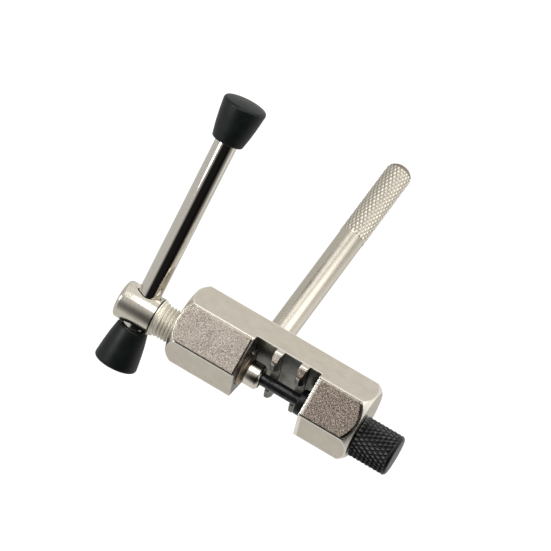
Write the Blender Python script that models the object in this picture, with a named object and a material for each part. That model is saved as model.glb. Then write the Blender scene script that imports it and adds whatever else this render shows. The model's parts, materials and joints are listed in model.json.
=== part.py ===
"""Bicycle chain tool: a hexagonal body with two chain cradles, a drive screw and a backing screw.

Frame: +X runs along the screw axis towards the backing screw, +Y towards the handle rod,
and +Z along the chain. The origin is the centre of the main cradle's seat.
"""

from math import atan2, cos, hypot, pi, radians, sin, sqrt

import bmesh
import bpy
from mathutils import Matrix, Vector

MM = 0.001

# Driving dimensions, in millimetres.
GAP = 0.3                       # left between neighbouring pieces
ACROSS_FLATS = 19.0             # hexagonal bar
BODY_X = (-34.2, 19.0)          # end faces of the body
END_CORNER = ((0.0, 9.25), (0.9, 10.2), (2.2, 11.1))  # turned corner: depth from the face, radius
EDGE_ROUND = 0.3                # along the bar's six corners
SEAT_DEPTH = 3.95               # screw axis above the cradle's seat, half a chain roller and a little
SEAT_HALF_WIDTH = 1.2           # flat at the bottom of the roller notch
ECCENTRICITY = 3.25             # screw axis from the bar's centre, towards the open side
GAP_X = (-14.45, 4.45)          # inner faces of the two blocks
FLOOR_DROP = 0.75               # floor of the gap below the cradle's seat
CRADLE_X = (-7.3, 0.0)          # second and main cradle walls
WALL = 2.2                      # thickness of a cradle wall, inside a 3/32 inch chain
TIP_DROP = 0.4                  # tooth tips below the screw axis
TIP_CHAMFER = (0.6, 1.5)        # taken off each side of a tooth: across, and down from the tip
NOTCH_MOUTH = 5.7               # half width of the roller notch at the tooth tips
PANEL_MARGIN = 0.5              # border around each raised panel
PANEL_RISE = 0.25               # raised panels stand this far above the side flats
TOOTH_PANEL = (0.5, 2.9)        # small panels on the teeth, measured along the flat from its corner

THREAD_RADIUS = 4.5             # drive screw, 26 threads per inch
BACKING_THREAD_RADIUS = 4.0
HEAD_X = (-50.75, -38.25)       # drive screw head, with its chamfer
HEAD_RADIUS = 5.15
HEAD_CHAMFER = 2.0
BAR_X = -44.65                  # tommy bar's axis along the screw
BAR_ANGLE = radians(44.0)       # tommy bar's long arm, from +Y towards +Z
BAR_RADIUS = 3.0
BAR_REACH = (-14.0, 57.6)       # ends of the bar from the screw axis
CAP_RADII = (4.35, 5.85)        # narrow and wide end of a rubber cap
CAP_LENGTH = 10.5
CAP_DOME = 1.1
CAP_BORE_DEPTH = 8.8
CAP_STARTS = (-5.45, 49.1)      # narrow ends of the lower and the upper cap
SCREW_END = -13.45              # inner end of the drive screw's thread
SPIGOT = (2.5, 1.6)             # radius and length of the spigot under the retaining nut
NUT_X = (-13.15, -9.05)
NUT_RADIUS = 3.4
PIN_RADIUS = 1.65
PIN_TIP = 2.55
PIN_HEAD = (2.5, 1.2)           # radius and thickness of the head trapped by the nut

PAD_X = (1.95, 4.45)            # round nose that backs up the chain plate
PAD_RADIUS = 3.5
PAD_HOLE_RADIUS = 2.05
STEM_RADIUS = 2.9
STEM_LENGTH = 5.0
KNOB_X = (19.3, 29.95)
KNOB_RADIUS = 5.55

HANDLE_X = -11.85               # where the handle rod meets the flat
HANDLE_LEAN = radians(1.8)      # towards the backing screw
HANDLE_RADIUS = 3.5
HANDLE_KNURL_RADIUS = 3.65
HANDLE_KNURL = (35.4, 58.2)     # along the rod, from the flat
HANDLE_LENGTH = 60.9
STUD = (2.5, 5.5)               # radius and length of the threaded stud

SCREW_Y = -SEAT_DEPTH
BAR_CENTRE_Y = SCREW_Y + ECCENTRICITY
HALF_FLATS = ACROSS_FLATS / 2
CORNER_RADIUS = ACROSS_FLATS / sqrt(3)
FLAT_Y = BAR_CENTRE_Y + HALF_FLATS
TIP_Y = SCREW_Y + TIP_DROP
BEYOND = 15.0                   # cutters run this far past the body, each way along Z
ABOVE = 40.0                    # and this far out of the open side
SEGMENTS = 48

MATERIALS = {
    "satin_nickel": ((0.60, 0.58, 0.54), 0.35, 1.0),
    "bright_nickel": ((0.72, 0.70, 0.66), 0.18, 1.0),
    "polished_chrome": ((0.78, 0.77, 0.75), 0.07, 1.0),
    "nickel_knurl": ((0.66, 0.63, 0.58), 0.30, 1.0),
    "black_oxide": ((0.035, 0.035, 0.038), 0.35, 0.8),
    "black_knurl": ((0.03, 0.03, 0.032), 0.50, 0.6),
    "black_rubber": ((0.022, 0.024, 0.024), 0.60, 0.0),
}


def clear_scene():
    for obj in list(bpy.data.objects):
        bpy.data.objects.remove(obj, do_unlink=True)


def make_materials():
    made = {}
    for name, (colour, roughness, metallic) in MATERIALS.items():
        material = bpy.data.materials.new(name)
        material.use_nodes = True
        shader = material.node_tree.nodes["Principled BSDF"]
        shader.inputs["Base Color"].default_value = (*colour, 1.0)
        shader.inputs["Roughness"].default_value = roughness
        shader.inputs["Metallic"].default_value = metallic
        made[name] = material
    return made


def add_object(name, bm, material=None, smooth=True):
    """A mesh object from bm, whose points are in millimetres."""
    bmesh.ops.recalc_face_normals(bm, faces=bm.faces)
    bmesh.ops.scale(bm, vec=(MM, MM, MM), verts=bm.verts)
    mesh = bpy.data.meshes.new(name)
    bm.to_mesh(mesh)
    bm.free()
    if smooth:
        mesh.shade_smooth()
        mesh.set_sharp_from_angle(angle=radians(30))
    if material:
        mesh.materials.append(material)
    obj = bpy.data.objects.new(name, mesh)
    bpy.context.scene.collection.objects.link(obj)
    return obj


def place(obj, x=0.0, y=0.0, z=0.0):
    obj.location = Vector((x, y, z)) * MM
    return obj


def turned(name, outline, material=None, segments=SEGMENTS, closed=False):
    """Turn an outline of (x, radius) points round the X axis. A closed outline makes a tube."""
    bm = bmesh.new()
    rings = []
    for x, radius in outline:
        if radius == 0:
            rings.append([bm.verts.new((x, 0, 0))] * segments)
            continue
        angles = [2 * pi * k / segments for k in range(segments)]
        rings.append([bm.verts.new((x, radius * cos(a), radius * sin(a))) for a in angles])
    pairs = list(zip(rings, rings[1:]))
    if closed:
        pairs.append((rings[-1], rings[0]))
    for first, second in pairs:
        for k in range(segments):
            following = (k + 1) % segments
            corners = [first[k], first[following], second[following], second[k]]
            corners = list(dict.fromkeys(corners))
            if len(corners) > 2:
                bm.faces.new(corners)
    return add_object(name, bm, material)


def extruded(name, outline, axis, low, high, material=None):
    """Extrude an outline along X (points are y, z) or along Z (points are x, y)."""
    bm = bmesh.new()
    if axis == "X":
        points = [(low, a, b) for a, b in outline]
        step = (high - low, 0, 0)
    else:
        points = [(a, b, low) for a, b in outline]
        step = (0, 0, high - low)
    face = bm.faces.new([bm.verts.new(p) for p in points])
    grown = bmesh.ops.extrude_face_region(bm, geom=[face])
    moved = [v for v in grown["geom"] if isinstance(v, bmesh.types.BMVert)]
    bmesh.ops.translate(bm, verts=moved, vec=step)
    return add_object(name, bm, material, smooth=False)


def boolean(target, tool, operation="DIFFERENCE"):
    """Combine target with a hidden tool object."""
    tool.hide_render = True
    tool.display_type = "WIRE"
    modifier = target.modifiers.new(tool.name, "BOOLEAN")
    modifier.operation = operation
    modifier.solver = "EXACT"
    modifier.object = tool


def hexagon_corner(number):
    """Corner of the bar's section as (y, z). Corner 1 points along +Z, where the chain comes out."""
    angle = radians(30 + 60 * number)
    return BAR_CENTRE_Y + CORNER_RADIUS * cos(angle), CORNER_RADIUS * sin(angle)


def hexagonal_bar(material):
    body = extruded("body", [hexagon_corner(k) for k in range(6)], "X", *BODY_X, material)
    bm = bmesh.new()
    bm.from_mesh(body.data)
    along = [e for e in bm.edges if abs((e.verts[0].co - e.verts[1].co).x) > MM]
    bmesh.ops.bevel(bm, geom=along, offset=EDGE_ROUND * MM, segments=1, affect="EDGES")
    bm.to_mesh(body.data)
    bm.free()
    return body


def side_panel(name, x_range, along, side):
    """A raised panel on the flat beside the open side. along runs from the bar's Z corner.

    side is 1 on the +Z flat and -1 on the -Z flat.
    """
    corner = Vector(hexagon_corner(1))
    run = (Vector(hexagon_corner(2)) - corner).normalized()
    out = Vector((run.y, -run.x))
    if out.dot(corner - Vector((BAR_CENTRE_Y, 0))) < 0:
        out = -out
    section = []
    for distance, rise in ((along[0], -0.4), (along[1], -0.4), (along[1], PANEL_RISE), (along[0], PANEL_RISE)):
        point = corner + run * distance + out * rise
        section.append((point.x, side * point.y))
    return extruded(name, section, "X", *x_range)


def add_panels(body):
    side = CORNER_RADIUS
    block = (PANEL_MARGIN, side - PANEL_MARGIN)
    spans = [
        ((BODY_X[0] - 1, GAP_X[0] - PANEL_MARGIN), block),
        ((GAP_X[1] + PANEL_MARGIN, BODY_X[1] + 1), block),
    ]
    tooth_half = WALL / 2 - 0.4
    spans += [((x - tooth_half, x + tooth_half), TOOTH_PANEL) for x in CRADLE_X]
    for number, (x_range, along) in enumerate(spans):
        for sign in (1, -1):
            letter = "a" if sign == 1 else "b"
            boolean(body, side_panel(f"panel_{number}{letter}", x_range, along, sign), "UNION")


def turn_ends(body):
    """Turn the corners off both ends of the bar, like a nut's."""
    low, high = BODY_X
    outline = [(low, 0)]
    outline += [(low + depth, radius) for depth, radius in END_CORNER]
    outline += [(high - depth, radius) for depth, radius in reversed(END_CORNER)]
    outline.append((high, 0))
    blank = place(turned("end_turning", outline, segments=96), y=BAR_CENTRE_Y)
    boolean(body, blank, "INTERSECT")


def gap_outline():
    """Side view (x, y) of the milled gap, which leaves two walls with thinned teeth."""
    across, down = TIP_CHAMFER
    half = WALL / 2
    wall = [
        (-half, FLOOR_DROP), (-half, TIP_Y + down), (across - half, TIP_Y),
        (half - across, TIP_Y), (half, TIP_Y + down), (half, FLOOR_DROP),
    ]
    points = [(GAP_X[0], -ABOVE), (GAP_X[0], FLOOR_DROP)]
    for centre in CRADLE_X:
        points += [(centre + x, y) for x, y in wall]
    return points + [(GAP_X[1], FLOOR_DROP), (GAP_X[1], -ABOVE)]


def notch_outline():
    """Section (y, z) of the roller notch, with a flat seat at its bottom."""
    radius = hypot(SEAT_DEPTH, SEAT_HALF_WIDTH)
    first = radians(50)
    last = atan2(SEAT_HALF_WIDTH, SEAT_DEPTH)
    steps = 6
    flank = [(SCREW_Y + radius * cos(first), radius * sin(first)), (TIP_Y, NOTCH_MOUTH)]
    slope = (flank[1][1] - flank[0][1]) / (flank[1][0] - flank[0][0])
    half = [(TIP_Y - 1, NOTCH_MOUTH - slope)]
    for k in range(steps + 1):
        angle = first + (last - first) * k / steps
        half.append((SCREW_Y + radius * cos(angle), radius * sin(angle)))
    return half + [(y, -z) for y, z in reversed(half)]


def cut_gap(body):
    """Mill the gap and the roller notch from the open side."""
    gap = extruded("gap", gap_outline(), "Z", -BEYOND, BEYOND)
    past = WALL / 2 + 0.5
    notch = extruded("notch", notch_outline(), "X", CRADLE_X[0] - past, CRADLE_X[1] + past)
    for tool in (gap, notch):
        boolean(body, tool)


def handle_matrix():
    """Local X along the handle rod, from the point where it meets the flat."""
    direction = Vector((sin(HANDLE_LEAN), cos(HANDLE_LEAN), 0))
    turn = Vector((1, 0, 0)).rotation_difference(direction).to_matrix().to_4x4()
    return Matrix.Translation(Vector((HANDLE_X, FLAT_Y, 0)) * MM) @ turn


def bore(body):
    """Bore the two screw holes and the handle's stud hole."""
    bores = (
        ("drive_bore", BODY_X[0] - 1, GAP_X[0] + 1, THREAD_RADIUS + GAP),
        ("backing_bore", GAP_X[1] - 1, BODY_X[1] + 1, BACKING_THREAD_RADIUS + GAP),
    )
    for name, low, high, radius in bores:
        tool = turned(name, [(low, 0), (low, radius), (high, radius), (high, 0)])
        boolean(body, place(tool, y=SCREW_Y))
    radius = STUD[0] + GAP
    depth = STUD[1] + GAP
    hole = turned("stud_hole", [(-depth, 0), (-depth, radius), (2, radius), (2, 0)], segments=24)
    hole.matrix_world = handle_matrix()
    boolean(body, hole)


def make_body(material):
    body = hexagonal_bar(material)
    add_panels(body)
    turn_ends(body)
    cut_gap(body)
    bore(body)
    return body


def make_handle(material):
    start, end = HANDLE_KNURL
    stud_radius, stud_length = STUD
    foot = GAP + 0.1
    outline = [
        (-stud_length, 0),
        (-stud_length, stud_radius - 0.3),
        (-stud_length + 0.3, stud_radius),
        (foot, stud_radius),
        (foot, HANDLE_RADIUS - 0.2),
        (foot + 0.2, HANDLE_RADIUS),
        (start, HANDLE_RADIUS),
        (start + 0.2, HANDLE_KNURL_RADIUS),
        (end, HANDLE_KNURL_RADIUS),
    ]
    dome = HANDLE_LENGTH - end
    for k in range(1, 5):
        angle = pi / 2 * k / 5
        outline.append((end + dome * sin(angle), HANDLE_KNURL_RADIUS * cos(angle)))
    outline.append((HANDLE_LENGTH, 0))
    rod = turned("handle_rod", outline, material, segments=32)
    rod.matrix_world = handle_matrix()
    return rod


def bar_empty():
    """Empty on the tommy bar's axis, with local X along the bar's long arm."""
    empty = bpy.data.objects.new("tommy_bar_axis", None)
    bpy.context.scene.collection.objects.link(empty)
    direction = Vector((0, cos(BAR_ANGLE), sin(BAR_ANGLE)))
    turn = Vector((1, 0, 0)).rotation_difference(direction).to_matrix().to_4x4()
    empty.matrix_world = Matrix.Translation(Vector((BAR_X, SCREW_Y, 0)) * MM) @ turn
    return empty


def make_drive_screw(material, axis):
    low, high = HEAD_X
    soft = 0.9
    spigot_radius, spigot_length = SPIGOT
    outline = [(low, 0), (low, HEAD_RADIUS - soft)]
    for k in range(1, 4):
        angle = pi / 2 * k / 4
        outline.append((low + soft * (1 - cos(angle)), HEAD_RADIUS - soft * (1 - sin(angle))))
    outline += [
        (low + soft, HEAD_RADIUS),
        (high - HEAD_CHAMFER, HEAD_RADIUS),
        (high, THREAD_RADIUS),
        (SCREW_END - 0.5, THREAD_RADIUS),
        (SCREW_END, THREAD_RADIUS - 0.5),
        (SCREW_END, spigot_radius),
        (SCREW_END + spigot_length, spigot_radius),
        (SCREW_END + spigot_length, 0),
    ]
    screw = place(turned("drive_screw", outline, material), y=SCREW_Y)
    hole = BAR_RADIUS + GAP
    reach = HEAD_RADIUS + 1
    mouth = hole + 0.9
    outline = [(-reach, 0), (-reach, mouth + 1), (-HEAD_RADIUS, mouth), (-HEAD_RADIUS + 0.9, hole)]
    outline += [(-x, radius) for x, radius in reversed(outline)]
    cross_hole = turned("cross_hole", outline)
    cross_hole.parent = axis
    boolean(screw, cross_hole)
    return screw


def make_tommy_bar(bar_material, cap_material, axis):
    low, high = BAR_REACH
    corner = 0.4
    outline = [
        (low, 0), (low, BAR_RADIUS - corner), (low + corner, BAR_RADIUS),
        (high - corner, BAR_RADIUS), (high, BAR_RADIUS - corner), (high, 0),
    ]
    turned("tommy_bar", outline, bar_material, segments=40).parent = axis
    narrow, wide = CAP_RADII
    bore_radius = BAR_RADIUS + GAP
    for name, start, sign in (("bar_cap_lower", CAP_STARTS[0], -1), ("bar_cap_upper", CAP_STARTS[1], 1)):
        profile = [
            (0, bore_radius),
            (0, narrow - 0.25),
            (0.25, narrow),
            (CAP_LENGTH - 0.5, wide - 0.05),
            (CAP_LENGTH, wide - 0.45),
            (CAP_LENGTH + 0.6 * CAP_DOME, 0.75 * wide),
            (CAP_LENGTH + 0.9 * CAP_DOME, 0.4 * wide),
            (CAP_LENGTH + CAP_DOME, 0),
            (CAP_BORE_DEPTH, 0),
            (CAP_BORE_DEPTH, bore_radius),
        ]
        outline = [(start + sign * x, radius) for x, radius in profile]
        turned(name, outline, cap_material, segments=40, closed=True).parent = axis


def make_pin_and_nut(pin_material, nut_material):
    low, high = NUT_X
    head_radius, head_length = PIN_HEAD
    head_x = SCREW_END + SPIGOT[1] + GAP
    hole = PIN_RADIUS + GAP
    inside = SPIGOT[0] + GAP
    wall_x = head_x + head_length + GAP
    nut = [
        (low, inside), (low, NUT_RADIUS - 0.2), (low + 0.2, NUT_RADIUS), (high - 1.1, NUT_RADIUS),
        (high, 2.6), (high, hole), (wall_x, hole), (wall_x, inside),
    ]
    place(turned("pin_retaining_nut", nut, nut_material, segments=40, closed=True), y=SCREW_Y)
    tip = 0.4
    pin = [
        (head_x, 0), (head_x, head_radius), (head_x + head_length, head_radius),
        (head_x + head_length, PIN_RADIUS), (PIN_TIP - tip, PIN_RADIUS), (PIN_TIP, PIN_RADIUS - tip), (PIN_TIP, 0),
    ]
    place(turned("driver_pin", pin, pin_material, segments=32), y=SCREW_Y)


def make_backing(pad_material, screw_material):
    low, high = PAD_X
    stem_end = high + STEM_LENGTH
    pad = [
        (low, PAD_HOLE_RADIUS), (low, PAD_RADIUS - 0.4), (low + 0.4, PAD_RADIUS), (high, PAD_RADIUS),
        (high, STEM_RADIUS), (stem_end, STEM_RADIUS), (stem_end, PAD_HOLE_RADIUS),
    ]
    place(turned("backing_pad", pad, pad_material, segments=40, closed=True), y=SCREW_Y)
    start = high + GAP
    bore_end = stem_end + GAP
    socket = STEM_RADIUS + GAP
    knob_low, knob_high = KNOB_X
    rivet_room = (2.2, 7.0)
    screw = [
        (bore_end + rivet_room[1], 0),
        (bore_end + rivet_room[1], rivet_room[0]),
        (bore_end, rivet_room[0]),
        (bore_end, socket),
        (start, socket),
        (start, BACKING_THREAD_RADIUS - 0.3),
        (start + 0.3, BACKING_THREAD_RADIUS),
        (knob_low, BACKING_THREAD_RADIUS),
        (knob_low, KNOB_RADIUS - 0.3),
        (knob_low + 0.3, KNOB_RADIUS),
        (knob_high - 0.7, KNOB_RADIUS),
        (knob_high, KNOB_RADIUS - 0.7),
        (knob_high, 0),
    ]
    place(turned("backing_screw", screw, screw_material, segments=40), y=SCREW_Y)


def main():
    clear_scene()
    materials = make_materials()
    make_body(materials["satin_nickel"])
    make_handle(materials["nickel_knurl"])
    axis = bar_empty()
    bpy.context.view_layer.update()
    make_drive_screw(materials["bright_nickel"], axis)
    make_tommy_bar(materials["polished_chrome"], materials["black_rubber"], axis)
    make_pin_and_nut(materials["black_oxide"], materials["polished_chrome"])
    make_backing(materials["black_oxide"], materials["black_knurl"])


main()
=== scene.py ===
import json
from math import cos, floor, hypot, pi, radians, sin, sqrt

import bmesh
import bpy
from mathutils import Matrix, Vector


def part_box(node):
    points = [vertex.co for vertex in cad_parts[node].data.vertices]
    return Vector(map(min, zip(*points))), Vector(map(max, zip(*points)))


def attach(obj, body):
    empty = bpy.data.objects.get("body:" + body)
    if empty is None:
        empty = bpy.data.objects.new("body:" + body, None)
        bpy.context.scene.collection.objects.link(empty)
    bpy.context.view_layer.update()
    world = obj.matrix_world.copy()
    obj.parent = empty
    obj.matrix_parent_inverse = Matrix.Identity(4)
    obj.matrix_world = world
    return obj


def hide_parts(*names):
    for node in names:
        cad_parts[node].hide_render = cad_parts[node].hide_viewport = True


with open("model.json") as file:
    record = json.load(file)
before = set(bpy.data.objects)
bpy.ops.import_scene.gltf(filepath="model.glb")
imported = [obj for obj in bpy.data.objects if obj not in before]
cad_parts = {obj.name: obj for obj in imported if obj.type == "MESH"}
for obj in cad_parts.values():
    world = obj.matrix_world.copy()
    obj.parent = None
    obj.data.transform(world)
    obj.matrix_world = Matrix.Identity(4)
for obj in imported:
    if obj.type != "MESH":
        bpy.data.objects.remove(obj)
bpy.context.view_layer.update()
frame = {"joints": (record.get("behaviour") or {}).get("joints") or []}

MM = 0.001
JOINTS = {joint["name"]: joint for joint in frame["joints"]}


def span(node):
    """Lowest and highest corner of a CAD node, in millimetres."""
    low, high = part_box(node)
    return low / MM, high / MM


BODY_LOW, BODY_HIGH = span("body")
SCREW_LOW = span("drive_screw")[0]
NUT_LOW, NUT_HIGH = span("pin_retaining_nut")
PIN_LOW, PIN_HIGH = span("driver_pin")
PAD_LOW, PAD_HIGH = span("backing_pad")
BACKING_LOW, BACKING_HIGH = span("backing_screw")
BAR_X = JOINTS["screw_turn"]["pos_m"][0] / MM
SCREW_Y = JOINTS["screw_turn"]["pos_m"][1] / MM
BAR_AXIS = Vector(JOINTS["bar_slide"]["axis"])

# The body, in millimetres.
CENTRE_Y = (BODY_LOW.y + BODY_HIGH.y) / 2
HALF_FLATS = (BODY_HIGH.y - BODY_LOW.y) / 2
CORNER_RADIUS = HALF_FLATS * 2 / sqrt(3)
# Each turned end: depth from the end face, radius.
END_CORNER = ((0.0, 9.25), (0.35, 9.65), (0.9, 10.2), (1.5, 10.65), (2.2, 11.1), (3.2, 11.6))
# Three straight lines close to that corner: radius at the end face, slope.
END_SLOPES = ((9.25, 1.06), (9.57, 0.69), (10.0, 0.5))
GAP_X = (-14.45, 4.45)  # inner faces of the two blocks
FLOOR_Y = 0.75  # floor of the gap
CRADLE_X = (-7.3, 0.0)  # middles of the two cradle walls
WALL = 2.2
TIP_Y = SCREW_Y + 0.4
TIP_CHAMFER = (0.65, 1.5)  # taken off each side of a tooth: across, and down from the tip
NOTCH_MOUTH = 5.7
SEAT_HALF_WIDTH = 1.2
BORE_LIP = 0.25
BACKING_BORE = 4.12

# Raised panels and the moat round each.
PANEL_MARGIN = 0.45  # from the flat's corners and from the gap
PANEL_STEP = 0.25  # more than that on the left of the gap
PANEL_INSET = 0.4  # inward from the turned ends
PANEL_RISE = 0.3
PANEL_ROOT = -0.6
MOAT = 0.24
MOAT_DEPTH = 0.14
TOOTH_PANEL_HALF = 0.85  # along the screw
TOOTH_PANEL_DOWN = (0.6, 2.75)  # along the flat, from its corner
TOOTH_PANEL_RISE = PANEL_RISE * 0.5

# The body's skin: voxels in millimetres, smoothing steps, share of the faces kept.
SKIN_VOXEL = 0.11
SKIN_SMOOTHING = 4
SKIN_KEPT = 0.3

# The handle rod, along its own axis from the flat that it stands on.
ROD_X = -11.85
ROD_LEAN = radians(1.8)
ROD_RADIUS = 3.5
ROD_KNURL_RADIUS = 3.65
ROD_KNURL = (35.4, 58.2)
ROD_KNURL_DEPTH = 0.22
ROD_LENGTH = 60.85
ROD_STUD = (2.6, 0.6)  # radius, depth into the body

# The drive screw, the nut and the pin.
PITCH = 0.977
THREAD_RADIUS = 4.5
THREAD_DEPTH = 0.52
THREAD_TIP_RADIUS = 3.95
HEAD_RADIUS = 5.15
SHOULDER_X = -40.25  # where the head ends and the thread starts
SHOULDER_RADIUS = 5.08
NECK_X = -38.25  # where the thread reaches its own radius
THREAD_END_X = -13.45
SPIGOT = (2.5, 1.6)  # radius and length beyond the thread
CROSS_HOLE = 3.3
NUT_RADIUS = 3.4
NUT_LIP = 2.8
NUT_BORE = 1.95
PIN_RADIUS = 1.65
PIN_HEAD = (2.5, 1.2)  # radius, thickness

# The tommy bar, along its own axis from the screw's.
BAR_RADIUS = 3.0
BAR_REACH = (-14.0, 57.6)
CAP_STARTS = (-5.45, 49.1)  # narrow ends of the lower and the upper cap

# The backing screw.
KNOB_X = BODY_HIGH.x + 0.3
KNOB_RADIUS = 5.55
KNOB_KNURL_DEPTH = 0.4
KNOB_BEVEL = 0.8
KNOB_NECK = 4.0
BACKING_PITCH = 1.0


# Mesh helpers. Every mesh is built in millimetres and scaled down as it becomes an object.

def add_object(name, bm, materials=(), matrix=None, sharp=radians(40)):
    bmesh.ops.recalc_face_normals(bm, faces=bm.faces)
    bmesh.ops.scale(bm, vec=(MM, MM, MM), verts=bm.verts)
    mesh = bpy.data.meshes.new(name)
    bm.to_mesh(mesh)
    bm.free()
    mesh.shade_smooth()
    mesh.set_sharp_from_angle(angle=sharp)
    for material in materials:
        mesh.materials.append(material)
    if matrix:
        mesh.transform(matrix)
    obj = bpy.data.objects.new(name, mesh)
    bpy.context.scene.collection.objects.link(obj)
    return obj


def softened(points, radius, steps=4):
    """An outline with its inner corners rounded."""
    points = [Vector(p) for p in points]
    result = [points[0]]
    for before, corner, after in zip(points, points[1:], points[2:]):
        reach = min(radius, (corner - before).length * 0.45, (after - corner).length * 0.45)
        first = corner + (before - corner).normalized() * reach
        last = corner + (after - corner).normalized() * reach
        for k in range(steps + 1):
            t = k / steps
            result.append(first * (1 - t) ** 2 + corner * 2 * t * (1 - t) + last * t**2)
    return [tuple(p) for p in result + [points[-1]]]


def run(low, high, radius, step, end_radius=None):
    """Evenly spaced outline points, for a stretch that carries relief."""
    count = max(1, round((high - low) / step))
    last = radius if end_radius is None else end_radius
    shares = [k / count for k in range(count + 1)]
    return [(low + (high - low) * share, radius + (last - radius) * share) for share in shares]


def lathe(name, outline, materials=(), matrix=None, segments=128, relief=None, closed=False,
          sharp=radians(40)):
    """Turn an outline of (x, radius) points round X, and push it in or out by relief(x, angle)."""
    bm = bmesh.new()
    rings = []
    for x, radius in outline:
        if radius < 1e-6:
            rings.append([bm.verts.new((x, 0, 0))] * segments)
            continue
        ring = []
        for k in range(segments):
            angle = 2 * pi * k / segments
            r = radius + (relief(x, angle) if relief else 0)
            ring.append(bm.verts.new((x, r * cos(angle), r * sin(angle))))
        rings.append(ring)
    pairs = list(zip(rings, rings[1:]))
    if closed:
        pairs.append((rings[-1], rings[0]))
    for first, second in pairs:
        for k in range(segments):
            following = (k + 1) % segments
            corners = (first[k], first[following], second[following], second[k])
            corners = list(dict.fromkeys(corners))
            if len(corners) > 2:
                bm.faces.new(corners)
    return add_object(name, bm, materials, matrix, sharp)


def prism(name, outline, axis, low, high):
    """Extrude an outline along X (points are y, z) or along Z (points are x, y)."""
    bm = bmesh.new()
    if axis == "X":
        points = [(low, a, b) for a, b in outline]
        step = (high - low, 0, 0)
    else:
        points = [(a, b, low) for a, b in outline]
        step = (0, 0, high - low)
    face = bm.faces.new([bm.verts.new(p) for p in points])
    grown = bmesh.ops.extrude_face_region(bm, geom=[face])
    moved = [v for v in grown["geom"] if isinstance(v, bmesh.types.BMVert)]
    bmesh.ops.translate(bm, verts=moved, vec=step)
    return add_object(name, bm)


def settle(obj):
    """Apply the object's modifiers to its mesh."""
    graph = bpy.context.evaluated_depsgraph_get()
    mesh = bpy.data.meshes.new_from_object(obj.evaluated_get(graph))
    obj.modifiers.clear()
    obj.data = mesh
    return obj


def boolean(target, tool, operation="DIFFERENCE"):
    modifier = target.modifiers.new(tool.name, "BOOLEAN")
    modifier.operation = operation
    modifier.solver = "EXACT"
    modifier.object = tool
    bpy.context.view_layer.update()
    settle(target)
    bpy.data.objects.remove(tool)


def tooth(t):
    """A wave that is 0 at whole numbers and 1 half way between."""
    return 1 - abs(2 * (t - floor(t)) - 1)


def thread(low, high, pitch, depth):
    """Relief of a right-hand thread between low and high, fading out at both ends."""
    def relief(x, angle):
        if not low < x < high:
            return 0
        fade = min(1, (x - low) / (pitch * 0.8), (high - x) / (pitch * 0.5))
        groove = min(1, max(0, (tooth(x / pitch - angle / (2 * pi)) - 0.06) / 0.88))
        return -depth * groove * fade
    return relief


def knurl(low, high, starts, rate, depth, flat=0.8):
    """Relief of a diamond knurl: two crossing families of grooves, rate of them a millimetre."""
    def relief(x, angle):
        if not low <= x <= high:
            return 0
        turn = starts * angle / (2 * pi)
        height = min(tooth(turn + rate * x), tooth(turn - rate * x), flat) / flat
        fade = min(1, (x - low) / 0.25, (high - x) / 0.25)
        return -depth * (1 - height) * fade
    return relief


def turned_along(direction, x, y, z):
    """Matrix that puts local X along direction, at a point in millimetres."""
    turn = Vector((1, 0, 0)).rotation_difference(direction).to_matrix().to_4x4()
    return Matrix.Translation(Vector((x, y, z)) * MM) @ turn


ON_SCREW_AXIS = Matrix.Translation((0, SCREW_Y * MM, 0))
BAR_MATRIX = turned_along(BAR_AXIS, BAR_X, SCREW_Y, 0)


# Materials.

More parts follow.
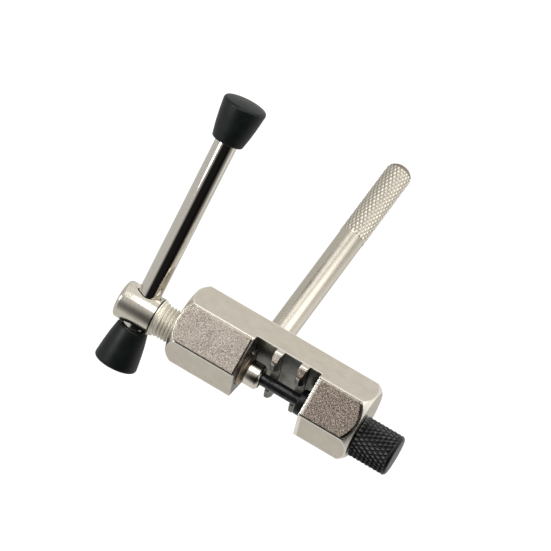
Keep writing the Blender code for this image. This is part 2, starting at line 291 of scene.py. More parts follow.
class Surface:
    """A Principled material and the nodes that feed it.

    Coordinates are in millimetres. matrix puts them in the piece's own axes, with X along it.
    """

    def __init__(self, name, matrix=None, **constants):
        self.material = bpy.data.materials.new(name)
        self.material.use_nodes = True
        self.tree = self.material.node_tree
        self.shader = self.tree.nodes["Principled BSDF"]
        for key, value in constants.items():
            self.shader.inputs[key.replace("_", " ")].default_value = value
        place = self.add("ShaderNodeTexCoord", output="Object")
        if matrix:
            turn = matrix.to_euler()
            sockets = {"Vector": place, "Location": matrix.translation, "Rotation": turn}
            place = self.add("ShaderNodeMapping", vector_type="TEXTURE", sockets=sockets)
        sockets = {"Vector": place, "Scale": 1 / MM}
        self.place = self.add("ShaderNodeVectorMath", operation="SCALE", sockets=sockets)

    def feed(self, socket, value):
        if isinstance(value, bpy.types.NodeSocket):
            self.tree.links.new(value, socket)
        else:
            socket.default_value = value

    def add(self, kind, *values, output=0, sockets=None, **settings):
        node = self.tree.nodes.new(kind)
        for key, value in settings.items():
            setattr(node, key, value)
        for socket, value in zip(node.inputs, values):
            self.feed(socket, value)
        for key, value in (sockets or {}).items():
            self.feed(node.inputs[key], value)
        return node.outputs[output]

    def set(self, key, value):
        self.feed(self.shader.inputs[key], value)

    def math(self, operation, *values):
        return self.add("ShaderNodeMath", *values, operation=operation)

    def fold(self, operation, values):
        """One value from several, taken two at a time."""
        result, *rest = values
        for value in rest:
            result = self.math(operation, result, value)
        return result

    def total(self, *values):
        return self.fold("ADD", values)

    def product(self, *values):
        return self.fold("MULTIPLY", values)

    def largest(self, *values):
        return self.fold("MAXIMUM", values)

    def smallest(self, *values):
        return self.fold("MINIMUM", values)

    def minus(self, first, second):
        return self.math("SUBTRACT", first, second)

    def above(self, value, limit):
        return self.math("GREATER_THAN", value, limit)

    def below(self, value, limit):
        return self.math("LESS_THAN", value, limit)

    def fit(self, value, low, high, to_low=0, to_high=1):
        return self.add("ShaderNodeMapRange", value, low, high, to_low, to_high)

    def band(self, value, full, gone):
        """1 where value is within full of zero, fading out at gone."""
        return self.fit(self.math("ABSOLUTE", value), full, gone, 1, 0)

    def dot(self, vector, place=None):
        place = self.place if place is None else place
        return self.add(
            "ShaderNodeVectorMath", place, vector, output="Value", operation="DOT_PRODUCT")

    def length_across(self, place):
        """Distance of place from the X axis."""
        across = self.add("ShaderNodeVectorMath", place, (0, 1, 1), operation="MULTIPLY")
        return self.add("ShaderNodeVectorMath", across, output="Value", operation="LENGTH")

    def noise(self, scale, detail=3.0, stretch=(1, 1, 1), roughness=0.55):
        place = self.add("ShaderNodeVectorMath", self.place, stretch, operation="MULTIPLY")
        sockets = {"Vector": place, "Scale": scale, "Detail": detail, "Roughness": roughness}
        return self.add("ShaderNodeTexNoise", sockets=sockets)

    def blend(self, factor, first, second):
        node = self.tree.nodes.new("ShaderNodeMix")
        node.data_type = "RGBA"
        self.feed(node.inputs[0], factor)
        for socket, value in ((node.inputs[6], first), (node.inputs[7], second)):
            self.feed(socket, (*value, 1.0) if isinstance(value, tuple) else value)
        return node.outputs[2]

    def bump(self, height, distance, strength=1.0, normal=None):
        """distance is in millimetres."""
        sockets = {"Height": height, "Distance": distance * MM, "Strength": strength}
        if normal is not None:
            sockets["Normal"] = normal
        return self.add("ShaderNodeBump", sockets=sockets)

    def radius(self):
        return self.length_across(self.place)

    def along(self):
        return self.dot((1, 0, 0))


def hexagon_distances(s, across):
    """Distance from the bar's middle towards its nearest flat, and towards the next nearest."""
    flats = []
    for angle in (0, 60, 120):
        normal = (0, cos(radians(angle)), sin(radians(angle)))
        flats.append(s.math("ABSOLUTE", s.dot(normal, across)))
    nearest, least = s.largest(*flats), s.smallest(*flats)
    return nearest, s.minus(s.minus(s.total(*flats), nearest), least)


def turned_distance(s, across, x):
    """Distance inward from the two turned ends."""
    inward = s.smallest(s.minus(x, BODY_LOW.x), s.minus(BODY_HIGH.x, x))
    lines = [s.math("MULTIPLY_ADD", inward, slope, start) for start, slope in END_SLOPES]
    return s.minus(s.smallest(*lines), s.length_across(across))


def block_shade_lines(s, x, down, turned, on_right, after_gap):
    """Painted shade: dark lines on the panels' right and lower sides, and a shadow strip by the
    gap.
    """
    arc = s.minus(turned, PANEL_INSET)
    before_gap = s.minus(GAP_X[0] - PANEL_MARGIN - PANEL_STEP, x)
    right_side = s.add("ShaderNodeMix", on_right, sockets={2: before_gap, 3: arc})
    left_side = s.add("ShaderNodeMix", on_right, sockets={2: arc, 3: after_gap})
    dark_sides = s.smallest(right_side, s.minus(CORNER_RADIUS - PANEL_MARGIN, down))
    lit_sides = s.smallest(left_side, s.minus(down, PANEL_MARGIN))
    # Painted shade line where a panel's step would be in shade, kept off its lit sides.
    shade_line = s.product(s.band(s.total(dark_sides, 0.16), 0.14, 0.21), s.above(lit_sides, -0.05))
    # Painted shadow: a patchy dark strip beside the gap, stronger lower down.
    shadow_strip = s.product(
        s.fit(s.noise(3.0, 4), 0.4, 0.55, 0.1, 1),
        s.fit(down, 2.0, 6.0, 0.3, 1),
        s.below(s.math("ABSOLUTE", s.total(before_gap, 0.4)), 0.4),
        s.below(down, CORNER_RADIUS - 0.35),
    )
    return s.largest(shade_line, shadow_strip)


def tooth_masks(s, x, down, centre):
    """One tooth's small panel, a painted highlight on its rim at the left and top, and a painted
    shade line elsewhere.
    """
    off = s.minus(x, centre)
    aside = s.math("ABSOLUTE", off)
    top, bottom = TOOTH_PANEL_DOWN
    on_wall = s.below(aside, WALL / 2 + 0.1)
    inside = s.smallest(
        s.minus(down, top), s.minus(bottom, down), s.minus(TOOTH_PANEL_HALF, aside))
    panel = s.product(s.fit(inside, -0.05, 0.05), on_wall)
    # Painted highlight on the rim at the tooth's left and top.
    rim = s.product(
        s.fit(inside, -0.05, -0.15), on_wall, s.largest(s.below(off, -0.6), s.below(down, 1)))
    # Painted shade line along the tooth panel's right and lower sides.
    shade_line = s.largest(s.minus(off, TOOTH_PANEL_HALF), s.minus(down, bottom - 0.05))
    shade_line = s.product(
        s.band(s.minus(shade_line, 0.1), 0.08, 0.16), on_wall, s.below(down, 2.9), s.above(down, 0.7))
    return panel, rim, shade_line


def body_masks(s):
    """Masks over the body: right of the gap, blasted panels, the milled gap, painted shade, and
    worn edges with painted highlights.

    down is the distance along a side flat from its corner at the open side.
    """
    across = s.add("ShaderNodeVectorMath", s.place, (0, CENTRE_Y, 0), operation="SUBTRACT")
    depth, second = hexagon_distances(s, across)
    x, y = s.along(), s.dot((0, 1, 0), across)
    z = s.math("ABSOLUTE", s.dot((0, 0, 1)))
    down = s.math("MULTIPLY_ADD", y, -sqrt(0.75), CORNER_RADIUS / 2)
    down = s.math("MULTIPLY_ADD", z, -0.5, down)
    turned = turned_distance(s, across, x)
    on_right = s.above(x, sum(GAP_X) / 2)
    in_gap = s.product(s.above(x, GAP_X[0] - 0.1), s.below(x, GAP_X[1] + 0.1))
    after_gap = s.minus(x, GAP_X[1] + PANEL_MARGIN)
    on_open_side = s.below(y, -0.5)
    teeth = [tooth_masks(s, x, down, centre) for centre in CRADLE_X]
    tooth_panels, tooth_highlights, tooth_shade_lines = (s.largest(*masks) for masks in zip(*teeth))

    panel = s.fit(depth, HALF_FLATS + 0.10, HALF_FLATS + 0.22)
    panel = s.largest(panel, s.product(tooth_panels, on_open_side))
    milled = s.product(in_gap, s.fit(depth, HALF_FLATS - 0.5, HALF_FLATS - 0.3, 1, 0))
    # Painted shade: dark lines along the panels and the teeth, on the open side only.
    painted_shade = s.largest(block_shade_lines(s, x, down, turned, on_right, after_gap), tooth_shade_lines)
    painted_shade = s.product(painted_shade, on_open_side, s.fit(depth, HALF_FLATS - 0.35, HALF_FLATS - 0.25))

    # Bright edges: worn plate on the hex corners and turned ends, partly painted highlight, and
    # painted highlights on the rim by the gap, the teeth and the gap's top edge.
    corner = s.fit(second, HALF_FLATS - 0.36, HALF_FLATS - 0.22)
    turned_edge = s.fit(turned, 0.25, 0.10, 0, 0.6)
    rim = s.largest(s.band(after_gap, PANEL_MARGIN - 0.05, PANEL_MARGIN + 0.15), tooth_highlights)
    rim = s.product(rim, s.fit(depth, HALF_FLATS - 0.3, HALF_FLATS - 0.15), on_open_side)
    above_floor = s.minus(y, FLOOR_Y - CENTRE_Y + 0.12)
    on_flat = s.fit(depth, HALF_FLATS - 0.25, HALF_FLATS - 0.1)
    ledge_highlight = s.product(in_gap, s.band(above_floor, 0.12, 0.2), on_flat)
    return on_right, panel, milled, painted_shade, s.largest(corner, turned_edge, rim, ledge_highlight)


def body_material():
    """Satin nickel plate, with blasted panels and a milled gap, and painted light and shade on
    them.
    """
    s = Surface("body_nickel", Metallic=1.0)
    on_right, panel, milled, painted_shade, wear_and_highlight = body_masks(s)
    cloud = s.noise(0.35, 4)
    grain = s.noise(7.0, 4)
    drawn = s.noise(2.2, 5, (0.18, 1.6, 1.6))
    speck = s.noise(3.4, 5, roughness=0.7)
    fine = s.noise(16.0, 2)

    plain = s.blend(s.fit(grain, 0.3, 0.7), (0.58, 0.535, 0.455), (0.70, 0.65, 0.56))
    plain = s.blend(s.fit(drawn, 0.4, 0.62, 0, 0.45), plain, (0.52, 0.485, 0.415))
    plain = s.blend(s.fit(cloud, 0.42, 0.62, 0, 0.4), plain, (0.71, 0.665, 0.58))
    mottle = s.fit(speck, 0.40, 0.60)
    # Painted light and shade: a lit copy of the blasted finish on the left block and a shaded copy
    # on the right.
    lit_blasted = s.blend(mottle, (0.30, 0.25, 0.215), (0.98, 0.875, 0.775))
    lit_blasted = s.blend(s.fit(cloud, 0.4, 0.65, 0, 0.3), lit_blasted, (0.88, 0.805, 0.72))
    shaded_blasted = s.blend(mottle, (0.125, 0.10, 0.083), (0.70, 0.59, 0.505))
    blasted = s.blend(on_right, lit_blasted, shaded_blasted)
    # Milled steel in the gap, its colour darkened as painted shade for the enclosed pocket.
    cut = s.blend(s.fit(cloud, 0.3, 0.7), (0.13, 0.128, 0.115), (0.24, 0.235, 0.21))
    colour = s.blend(milled, s.blend(panel, plain, blasted), cut)
    # Bright edges: worn plate with painted highlights.
    wear_and_highlight = s.product(wear_and_highlight, s.fit(grain, 0.3, 0.6, 0.8, 1))
    colour = s.blend(s.product(wear_and_highlight, 0.95), colour, (0.98, 0.95, 0.88))
    # Painted shade: near-black lines along the panels, the teeth and the gap.
    colour = s.blend(s.product(painted_shade, 0.96), colour, (0.022, 0.018, 0.014))
    s.set("Base Color", colour)

    rough = s.fit(s.noise(2.0, 3), 0.3, 0.7, 0.30, 0.40)
    rough = s.total(rough, s.product(panel, 0.14))
    s.set("Roughness", s.minus(rough, s.product(wear_and_highlight, 0.1)))

    marks = s.add(
        "ShaderNodeTexWave", wave_type="RINGS", rings_direction="Z",
        sockets={
            "Vector": s.place, "Scale": 1.4, "Distortion": 0.6, "Detail": 2.0, "Detail Scale": 2.0},
    )
    normal = s.bump(s.product(panel, s.total(speck, s.product(fine, 0.5))), 0.22, 1.0)
    normal = s.bump(s.product(milled, marks), 0.02, 0.5, normal)
    s.set("Normal", s.bump(s.total(grain, drawn), 0.006, 0.6, normal))
    return s.material


def plated_material(name, matrix, colours, roughness, streak, bump, tarnish=0.0, threaded=None):
    """Bright plate over turned or drawn steel.

    streak stretches the polishing marks along or round the piece. threaded is where along the
    piece a duller thread starts, after an undercut painted dark as shade.
    """
    s = Surface(name, matrix, Metallic=1.0)
    lines = s.noise(6.0, 4, streak)
    cloud = s.noise(0.5, 4)
    colour = s.blend(s.fit(lines, 0.3, 0.7), *colours)
    if tarnish:
        colour = s.blend(s.fit(cloud, 0.5, 0.75, 0, tarnish), colour, (0.50, 0.43, 0.34))
    rough = s.fit(s.total(lines, cloud), 0.7, 1.3, *roughness)
    if threaded is not None:
        x = s.along()
        on_thread = s.fit(x, threaded - 0.2, threaded + 0.2)
        colour = s.blend(on_thread, colour, (0.95, 0.925, 0.84))
        root = s.fit(s.radius(), THREAD_RADIUS - 0.48, THREAD_RADIUS - 0.2, 0.5, 0)
        colour = s.blend(s.product(on_thread, root), colour, (0.36, 0.31, 0.24))
        # Painted reflection: the thread turns brown towards its end, as if mirroring the body's
        # warm walls.
        warm_reflection = s.total(x, s.product(cloud, 2.0))
        warm_reflection = s.fit(warm_reflection, THREAD_END_X - 3.05, THREAD_END_X - 0.05, 0, 0.8)
        colour = s.blend(warm_reflection, colour, (0.40, 0.315, 0.21))
        # Painted shade: a near-black band in the groove under the head.
        undercut_shade = s.math("ABSOLUTE", s.minus(x, threaded - 0.07))
        colour = s.blend(s.fit(undercut_shade, 0.12, 0.2, 0.95, 0), colour, (0.05, 0.042, 0.033))
        rough = s.total(rough, s.product(on_thread, 0.36))
    s.set("Base Color", colour)
    s.set("Roughness", rough)
    s.set("Normal", s.bump(lines, bump, 0.8))
    return s.material


def black_metal_material(name, roughness, knurled=False, shine=1.0):
    """Oiled black oxide. On the knob, the knurl's tips are rubbed brighter, and its end is dull."""
    s = Surface(name, ON_SCREW_AXIS, Metallic=0.75, Specular_IOR_Level=0.6)
    cloud = s.noise(1.2, 4)
    grain = s.noise(9.0, 3)
    tones = (0.012, 0.012, 0.0135), (0.034, 0.035, 0.038)
    dark, light = (tuple(shine * level for level in tone) for tone in tones)
    colour = s.blend(s.fit(cloud, 0.3, 0.7), dark, light)
    if knurled:
        end = s.fit(s.along(), BACKING_HIGH.x - 0.9, BACKING_HIGH.x - 0.7)
        worn = s.product(
            s.fit(s.radius(), KNOB_RADIUS - KNOB_KNURL_DEPTH * 0.5, KNOB_RADIUS, 0, 0.9),
            s.fit(grain, 0.35, 0.6, 0.4, 1),
            s.fit(end, 0, 1, 1, 0.15),
        )
        colour = s.blend(worn, colour, (0.22, 0.222, 0.228))
        colour = s.blend(s.product(end, 0.7), colour, (0.006, 0.006, 0.006))
    s.set("Base Color", colour)
    s.set("Roughness", s.fit(grain, 0.3, 0.7, *roughness))
    s.set("Normal", s.bump(grain, 0.012, 0.7))
    return s.material


def rubber_material():
    s = Surface("cap_rubber", BAR_MATRIX, Metallic=0.0, Specular_IOR_Level=0.28, IOR=1.5)
    skin = s.noise(5.0, 4)
    cloud = s.noise(0.4, 3)
    colour = s.blend(s.fit(cloud, 0.3, 0.7), (0.0028, 0.0052, 0.0044), (0.006, 0.010, 0.009))
    s.set("Base Color", colour)
    s.set("Roughness", s.fit(s.total(skin, cloud), 0.7, 1.3, 0.36, 0.5))
    s.set("Normal", s.bump(skin, 0.02, 0.6))
    return s.material


def rod_material(matrix):
    """Satin nickel, with grime in the knurl's grooves."""
    s = Surface("rod_nickel", matrix, Metallic=1.0)
    rings = s.noise(5.0, 4, (3.0, 0.3, 0.3))
    cloud = s.noise(0.6, 4)
    on_knurl = s.above(s.along(), ROD_KNURL[0])
    groove = s.fit(s.radius(), ROD_KNURL_RADIUS - 0.26, ROD_KNURL_RADIUS - 0.05, 1, 0)
    groove = s.product(on_knurl, groove, s.fit(cloud, 0.3, 0.7, 0.75, 1))
    colour = s.blend(s.fit(rings, 0.3, 0.7), (0.60, 0.56, 0.48), (0.72, 0.675, 0.59))
    colour = s.blend(s.product(on_knurl, 0.55), colour, (0.90, 0.86, 0.77))
    s.set("Base Color", s.blend(groove, colour, (0.20, 0.165, 0.12)))
    s.set("Roughness", s.fit(s.total(rings, cloud), 0.7, 1.3, 0.22, 0.32))
    s.set("Normal", s.bump(rings, 0.008, 0.7))
    return s.material


# The body.

def hexagon_corner(number):
    angle = radians(30 + 60 * number)
    return Vector((CENTRE_Y + CORNER_RADIUS * cos(angle), CORNER_RADIUS * sin(angle)))


def end_turning(name, inset=0.0):
    """The bar's two turned ends, as the solid that they leave."""
    low, high = BODY_LOW.x, BODY_HIGH.x
    outline = [(low, 0)]
    outline += [(low + depth, radius - inset) for depth, radius in END_CORNER]
    outline += [(high - depth, radius - inset) for depth, radius in reversed(END_CORNER)]
    outline.append((high, 0))
    return lathe(name, outline, matrix=Matrix.Translation((0, CENTRE_Y * MM, 0)), segments=192)


def panel_block(name, side, x_range, distances, low, high, grow=0.0):
    """A slab along a flat beside the open side (1 or -1), from low to high above the flat."""
    corner, following = hexagon_corner(1), hexagon_corner(2)
    along = (following - corner).normalized()
    out = Vector((cos(radians(120)), sin(radians(120))))
    near, far = distances[0] - grow, distances[1] + grow
    section = []
    for distance, rise in ((near, low), (far, low), (far, high), (near, high)):
        point = corner + along * distance + out * rise
        section.append((point.x, side * point.y))
    return prism(name, section, "X", x_range[0] - grow, x_range[1] + grow)


def add_panel(body, name, side, x_range, distances, rise):
    panel = panel_block(name, side, x_range, distances, PANEL_ROOT, rise)
    boolean(panel, end_turning("panel_ends", PANEL_INSET), "INTERSECT")
    boolean(body, panel, "UNION")


def add_panels(body):
    """Raised panels on the two flats beside the open side, in a shallow moat, and on the teeth."""
    distances = (PANEL_MARGIN, CORNER_RADIUS - PANEL_MARGIN)
    blocks = (
        (BODY_LOW.x - 1, GAP_X[0] - PANEL_MARGIN - PANEL_STEP),
        (GAP_X[1] + PANEL_MARGIN, BODY_HIGH.x + 1),
    )
    for number, x_range in enumerate(blocks):
        for side in (1, -1):
            name = f"panel_{number}_{side}"
            moat = panel_block(name + "_moat", side, x_range, distances, -MOAT_DEPTH, 2, MOAT)
            boolean(moat, end_turning("moat_ends", PANEL_INSET - MOAT), "INTERSECT")
            boolean(body, moat)
            add_panel(body, name, side, x_range, distances, PANEL_RISE)
    for number, x in enumerate(CRADLE_X):
        x_range = (x - TOOTH_PANEL_HALF, x + TOOTH_PANEL_HALF)
        for side in (1, -1):
            name = f"tooth_panel_{number}_{side}"
            add_panel(body, name, side, x_range, TOOTH_PANEL_DOWN, TOOTH_PANEL_RISE)


def gap_outline():
    """The gap from the side, with the two cradle walls standing in it."""
    across, down = TIP_CHAMFER
    half = WALL / 2
    wall = [
        (-half, FLOOR_Y), (-half, TIP_Y + down), (across - half, TIP_Y),
        (half - across, TIP_Y), (half, TIP_Y + down), (half, FLOOR_Y),
    ]
    points = [(GAP_X[0], -40), (GAP_X[0], FLOOR_Y)]
    for centre in CRADLE_X:
        points += [(centre + x, y) for x, y in wall]
    return points + [(GAP_X[1], FLOOR_Y), (GAP_X[1], -40)]


def notch_outline():
    """The round notch for the chain, seen along the screw, widening to the teeth's tips."""
    radius = hypot(SCREW_Y, SEAT_HALF_WIDTH)
    first, last = radians(50), radians(17)
    steps = 12
    bottom = (SCREW_Y + radius * cos(first), radius * sin(first))
    slope = (NOTCH_MOUTH - bottom[1]) / (TIP_Y - bottom[0])
    half = [(TIP_Y - 1, NOTCH_MOUTH - slope)]
    for k in range(steps + 1):
        angle = first + (last - first) * k / steps
        half.append((SCREW_Y + radius * cos(angle), radius * sin(angle)))
    return half + [(y, -z) for y, z in reversed(half)]


def bore(name, low, high, radius):
    """A hole with a small countersink at each end."""
    mouth = radius + BORE_LIP + 1
    outline = [
        (low - 1, 0), (low - 1, mouth), (low + BORE_LIP, radius),
        (high - BORE_LIP, radius), (high + 1, mouth), (high + 1, 0),
    ]
    return lathe(name, outline, matrix=ON_SCREW_AXIS)


def make_body():
    corners = [hexagon_corner(k) for k in range(6)]
    body = prism("body_skin", corners, "X", BODY_LOW.x, BODY_HIGH.x)
    boolean(body, end_turning("ends"), "INTERSECT")
    add_panels(body)
    boolean(body, prism("gap", gap_outline(), "Z", -15, 15))
    boolean(body, prism("notch", notch_outline(), "X", CRADLE_X[0] - 2, CRADLE_X[1] + 2))
    boolean(body, bore("drive_bore", BODY_LOW.x, GAP_X[0], THREAD_RADIUS + 0.12))
    boolean(body, bore("backing_bore", GAP_X[1], BODY_HIGH.x, BACKING_BORE))
    remesh = body.modifiers.new("remesh", "REMESH")
    remesh.mode = "VOXEL"
    remesh.voxel_size = SKIN_VOXEL * MM
    smooth = body.modifiers.new("smooth", "SMOOTH")
    smooth.factor = 0.5
    smooth.iterations = SKIN_SMOOTHING
    thin = body.modifiers.new("thin", "DECIMATE")
    thin.ratio = SKIN_KEPT
    bpy.context.view_layer.update()
    settle(body)
    body.data.shade_smooth()
    body.data.materials.append(body_material())
    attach(body, "tool_body")
    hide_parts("body")


# The handle rod.

def make_rod():
    start, end = ROD_KNURL
    starts, rate = 22, 0.487
    step = 1 / (12 * rate)
    foot = 0.12
    stud, depth = ROD_STUD
    plain_end = start - 0.35
    outline = [(-depth, 0), (-depth, stud), (foot, stud), (foot, ROD_RADIUS)]
    outline = softened(outline + [(plain_end, ROD_RADIUS)], 0.3)
    outline += run(start, end, ROD_KNURL_RADIUS, step)
    dome = ROD_LENGTH - end
    for k in range(1, 12):
        angle = pi / 2 * k / 12
        outline.append((end + dome * sin(angle), ROD_KNURL_RADIUS * cos(angle) ** 0.75))
    outline.append((ROD_LENGTH, 0))
    diamonds = knurl(start, ROD_LENGTH - 0.5, starts, rate, ROD_KNURL_DEPTH)
    matrix = turned_along(Vector((sin(ROD_LEAN), cos(ROD_LEAN), 0)), ROD_X, BODY_HIGH.y, 0)
    rod = lathe(
        "handle_rod_skin", outline, [rod_material(matrix)], matrix,
        segments=starts * 12, relief=diamonds,
    )
    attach(rod, "tool_body")
    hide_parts("handle_rod")


# The drive screw, its nut and pin.

def cross_hole():
    """The tommy bar's hole through the screw's head, with a wide rounded mouth on each side."""
    low = -HEAD_RADIUS
    mouth = CROSS_HOLE + 0.9
    half = [(low - 1, 0), (low - 1, mouth + 0.9), (low, mouth), (low + 0.95, CROSS_HOLE)]
    outline = half + [(-x, r) for x, r in reversed(half)]
    return lathe("cross_hole", outline, matrix=BAR_MATRIX, segments=96)


def make_drive_screw():
    step = PITCH / 12
    low, tip = SCREW_LOW.x, THREAD_END_X
    groove = HEAD_RADIUS - 0.5
    outline = [(low, 0), (low, HEAD_RADIUS), (SHOULDER_X - 0.25, HEAD_RADIUS)]
    outline = softened(outline, 1.1, 8)
    outline += [(SHOULDER_X - 0.22, groove), (SHOULDER_X + 0.08, groove)]
    outline.append((SHOULDER_X + 0.16, SHOULDER_RADIUS))
    outline += run(SHOULDER_X + 0.25, NECK_X, SHOULDER_RADIUS, step, THREAD_RADIUS)
    outline += run(NECK_X + step, tip - 0.5, THREAD_RADIUS, step)
    outline += run(tip - 0.45, tip, THREAD_RADIUS, step, THREAD_TIP_RADIUS)
    radius, length = SPIGOT
    outline += [(tip, radius), (tip + length, radius), (tip + length, 0)]
    material = plated_material(
        "screw_plate", ON_SCREW_AXIS, ((0.60, 0.565, 0.49), (0.78, 0.735, 0.65)),
        roughness=(0.10, 0.22), streak=(0.4, 2.0, 2.0), bump=0.006, tarnish=0.25,
        threaded=SHOULDER_X,
    )
    relief = thread(SHOULDER_X + 0.2, tip, PITCH, THREAD_DEPTH)
    screw = lathe(
        "drive_screw_skin", outline, [material], ON_SCREW_AXIS, segments=96, relief=relief)
    boolean(screw, cross_hole())
    screw.data.set_sharp_from_angle(angle=radians(35))
    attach(screw, "screw")
    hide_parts("drive_screw")


def make_nut():
    low, high = NUT_LOW.x, NUT_HIGH.x
    floor_x = low + PIN_HEAD[1]
    outline = [
        (floor_x, NUT_BORE), (floor_x, NUT_LIP), (low, NUT_LIP), (low, 3.15),
        (low + 0.3, NUT_RADIUS), (high - 0.75, NUT_RADIUS),
        (high - 0.1, 2.85), (high, 2.6), (high, NUT_BORE),
    ]
    material = plated_material(
        "nut_chrome", ON_SCREW_AXIS, ((0.70, 0.66, 0.58), (0.84, 0.80, 0.73)),
        roughness=(0.08, 0.14), streak=(0.4, 1.5, 1.5), bump=0.003, tarnish=0.15,
    )
    outline = softened(outline, 0.14)
    nut = lathe("retaining_nut_skin", outline, [material], ON_SCREW_AXIS, closed=True)
    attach(nut, "screw")
    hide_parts("pin_retaining_nut")


def make_pin():
    start, tip = PIN_LOW.x, PIN_HIGH.x
    radius, thickness = PIN_HEAD
    neck = start + thickness
    outline = [
        (start, 0), (start, radius), (neck, radius), (neck, PIN_RADIUS),
        (tip - 0.4, PIN_RADIUS), (tip, PIN_RADIUS - 0.4), (tip, 0),
    ]
    material = black_metal_material("pin_oxide", (0.07, 0.13), shine=2.7)
    outline = softened(outline, 0.12)
    pin = lathe("driver_pin_skin", outline, [material], ON_SCREW_AXIS, segments=64)
    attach(pin, "pin")
    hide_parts("driver_pin")


# The tommy bar and its caps.

def make_bar():
    low, high = BAR_REACH
    outline = softened([(low, 0), (low, BAR_RADIUS), (high, BAR_RADIUS), (high, 0)], 0.4)
    material = plated_material(
        "bar_chrome", BAR_MATRIX, ((0.68, 0.65, 0.585), (0.80, 0.765, 0.70)),
        roughness=(0.05, 0.11), streak=(0.12, 1.6, 1.6), bump=0.002,
    )
    bar = lathe("tommy_bar_skin", outline, [material], BAR_MATRIX)
    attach(bar, "bar")
    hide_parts("tommy_bar")


def make_caps():
    """Tapered caps, widest near their outer ends. Each outline starts in the bar's hole."""
    outside = [
        (1.2, 3.02), (0.25, 3.1), (0.0, 3.35), (0.0, 4.2), (3.4, 4.93), (6.8, 5.45), (10.2, 5.85),
        (10.75, 5.55), (10.95, 4.9), (11.3, 3.4), (11.5, 1.7), (11.55, 0),
    ]
    profile = softened(outside, 0.5) + [(9.0, 0), (9.0, 3.02)]
    rubber = rubber_material()
    for name, start, sign in (("lower", CAP_STARTS[0], -1), ("upper", CAP_STARTS[1], 1)):
        outline = [(start + sign * x, r) for x, r in profile]
        cap = lathe(
            f"bar_cap_{name}_skin", outline, [rubber], BAR_MATRIX, closed=True, sharp=radians(60))
        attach(cap, "bar")
        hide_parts(f"bar_cap_{name}")


# The backing screw and its pad.

def make_pad():
    low, high = PAD_LOW.x, PAD_HIGH.x
    face = low + 2.5
    outline = [
        (low, 2.05), (low, 3.5), (face, 3.5), (face, 2.9), (high, 2.9), (high, 2.05),
    ]
    material = black_metal_material("pad_oxide", (0.22, 0.36))
    outline = softened(outline, 0.35)
    pad = lathe("backing_pad_skin", outline, [material], ON_SCREW_AXIS, closed=True)
    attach(pad, "pad")
    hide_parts("backing_pad")


def make_backing_screw():
    start, end = BACKING_LOW.x, BACKING_HIGH.x
    starts, rate = 28, 0.427
    step = 1 / (12 * rate)
    inner, seat = PAD_HIGH.x + 7.3, PAD_HIGH.x + 0.3
    outline = [(inner, 0), (inner, 2.2), (seat, 2.2), (seat, 3.2), (start, 3.2), (start, 3.6)]
    outline += run(start + 0.3, KNOB_X - 0.5, KNOB_NECK, BACKING_PITCH / 10)
    outline += [(KNOB_X, KNOB_NECK), (KNOB_X, 5.2)]
    outline += run(KNOB_X + 0.12, end - KNOB_BEVEL - 0.05, KNOB_RADIUS, step)
    rim = KNOB_RADIUS - 0.06
    outline += softened([(end - KNOB_BEVEL, rim), (end - 0.55, rim), (end, 5.0), (end, 0)], 0.2)

    knurling = knurl(KNOB_X + 0.12, end - KNOB_BEVEL, starts, rate, KNOB_KNURL_DEPTH, 0.9)
    threading = thread(start + 0.2, KNOB_X - 0.4, BACKING_PITCH, 0.45)

    def relief(x, angle):
        return knurling(x, angle) + threading(x, angle)

    material = black_metal_material("knob_oxide", (0.28, 0.42), knurled=True)
    screw = lathe(
        "backing_screw_skin", outline, [material], ON_SCREW_AXIS,
        segments=starts * 12, relief=relief,
    )
    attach(screw, "backing")
    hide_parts("backing_screw")


# Stage, light and camera.

FLOOR_Z = -66  # millimetres, below the lowest point of the tool at any pose
FLOOR_HALF = 4000
PAPER_GLOW = 0.93
ROOM_COLOUR = (1.0, 0.985, 0.96, 1)
ROOM_LEVEL = 0.62
SOFTBOXES = (
    # direction, full within, gone past (degrees), level
    ((0.50, 0.45, 0.74), 15, 31, 1.5),
    ((0.26, 0.96, 0.09), 25, 70, 0.26),
    ((-0.16, -0.46, -0.87), 20, 70, 0.10),
    ((0.86, 0.45, -0.22), 12, 45, 0.34),
    ((-0.16, 0.56, 0.81), 6, 36, 0.25),
)
DARK_OPENINGS = (
    # direction, dark within, gone past (degrees), depth
    ((0.46, -0.81, 0.36), 33, 60, 0.98),
    ((0.93, -0.36, 0.0), 8, 42, 0.68),
)
CAMERA_PLACE = (0.12035, -0.37529, 0.75931)
CAMERA_RIGHT = (0.8534, 0.5098, 0.1084)
CAMERA_BACK = (0.1631, -0.4587, 0.8735)
CAMERA_LENS = 221.6


def make_stage():
    """A plain white floor. The room lights the tool through it, so that it is lit all round."""
    bm = bmesh.new()
    bmesh.ops.create_grid(bm, x_segments=1, y_segments=1, size=FLOOR_HALF)
    bmesh.ops.translate(bm, verts=bm.verts, vec=(0, 0, FLOOR_Z))
    s = Surface("floor_paper", Metallic=0.0, Roughness=0.9)
    s.shader.inputs["Emission Color"].default_value = (1, 1, 1, 1)
    s.shader.inputs["Emission Strength"].default_value = PAPER_GLOW
    s.set("Base Color", s.blend(s.noise(0.02, 2), (0.2, 0.2, 0.2), (0.21, 0.21, 0.21)))
    ground = add_object("floor", bm, [s.material])
    ground.visible_glossy = False
    ground.visible_diffuse = False
    ground.visible_shadow = False


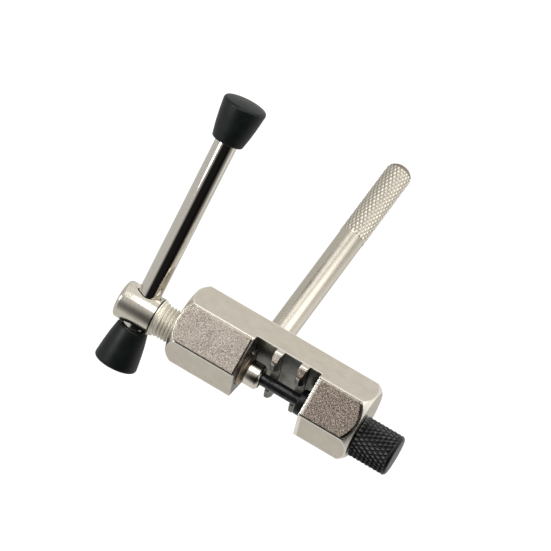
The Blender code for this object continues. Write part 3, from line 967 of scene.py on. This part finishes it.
def make_world():
    """A pale room with softboxes and two dark openings, which the camera sees as plain white."""
    world = bpy.data.worlds.new("studio")
    bpy.context.scene.world = world
    world.use_nodes = True
    tree = world.node_tree
    background = tree.nodes["Background"]
    background.inputs["Color"].default_value = ROOM_COLOUR
    toward = tree.nodes.new("ShaderNodeTexCoord").outputs["Generated"]

    def math(operation, *values):
        node = tree.nodes.new("ShaderNodeMath")
        node.operation = operation
        for socket, value in zip(node.inputs, values):
            if isinstance(value, bpy.types.NodeSocket):
                tree.links.new(value, socket)
            else:
                socket.default_value = value
        return node.outputs[0]

    def lobe(direction, inner, outer):
        """1 within inner degrees of direction, 0 past outer degrees."""
        dot = tree.nodes.new("ShaderNodeVectorMath")
        dot.operation = "DOT_PRODUCT"
        tree.links.new(toward, dot.inputs[0])
        dot.inputs[1].default_value = Vector(direction).normalized()
        ramp = tree.nodes.new("ShaderNodeMapRange")
        ramp.interpolation_type = "SMOOTHSTEP"
        tree.links.new(math("ARCCOSINE", dot.outputs["Value"]), ramp.inputs[0])
        for socket, value in zip(ramp.inputs[1:5], (radians(inner), radians(outer), 1.0, 0.0)):
            socket.default_value = value
        return ramp.outputs[0]

    level = ROOM_LEVEL
    for direction, inner, outer, amount in SOFTBOXES:
        level = math("ADD", level, math("MULTIPLY", lobe(direction, inner, outer), amount))
    for direction, inner, outer, depth in DARK_OPENINGS:
        shade = math("MULTIPLY", lobe(direction, inner, outer), depth)
        level = math("MULTIPLY", level, math("SUBTRACT", 1.0, shade))
    seen = tree.nodes.new("ShaderNodeLightPath").outputs["Is Camera Ray"]
    tree.links.new(math("MAXIMUM", level, seen), background.inputs["Strength"])


def make_light(name, place, size, power, target=None):
    """A softbox that points straight down, or at its target. Places are in metres."""
    light = bpy.data.lights.new(name, "AREA")
    light.shape = "RECTANGLE"
    light.size, light.size_y = size
    light.energy = power
    obj = bpy.data.objects.new(name, light)
    bpy.context.scene.collection.objects.link(obj)
    obj.location = place
    if target:
        obj.rotation_euler = (Vector(target) - Vector(place)).to_track_quat("-Z", "Y").to_euler()
    obj.visible_camera = False


def make_camera():
    camera = bpy.data.cameras.new("camera")
    camera.sensor_width = 36
    camera.lens = CAMERA_LENS
    obj = bpy.data.objects.new("camera", camera)
    bpy.context.scene.collection.objects.link(obj)
    back = Vector(CAMERA_BACK).normalized()
    up = back.cross(Vector(CAMERA_RIGHT)).normalized()
    turn = Matrix((up.cross(back), up, back)).transposed().to_4x4()
    obj.matrix_world = Matrix.Translation(CAMERA_PLACE) @ turn
    bpy.context.scene.camera = obj


make_camera()
make_world()
make_light("key", (-0.2, -0.12, 0.17), (0.08, 0.08), 0.2, target=(-0.02, 0, 0))
make_light("overhead", (-0.048, 0.006, 0.15), (0.068, 0.088), 0.043)
make_stage()
make_body()
make_rod()
make_drive_screw()
make_nut()
make_pin()
make_bar()
make_caps()
make_pad()
make_backing_screw()
bpy.context.scene.view_settings.view_transform = "Standard"
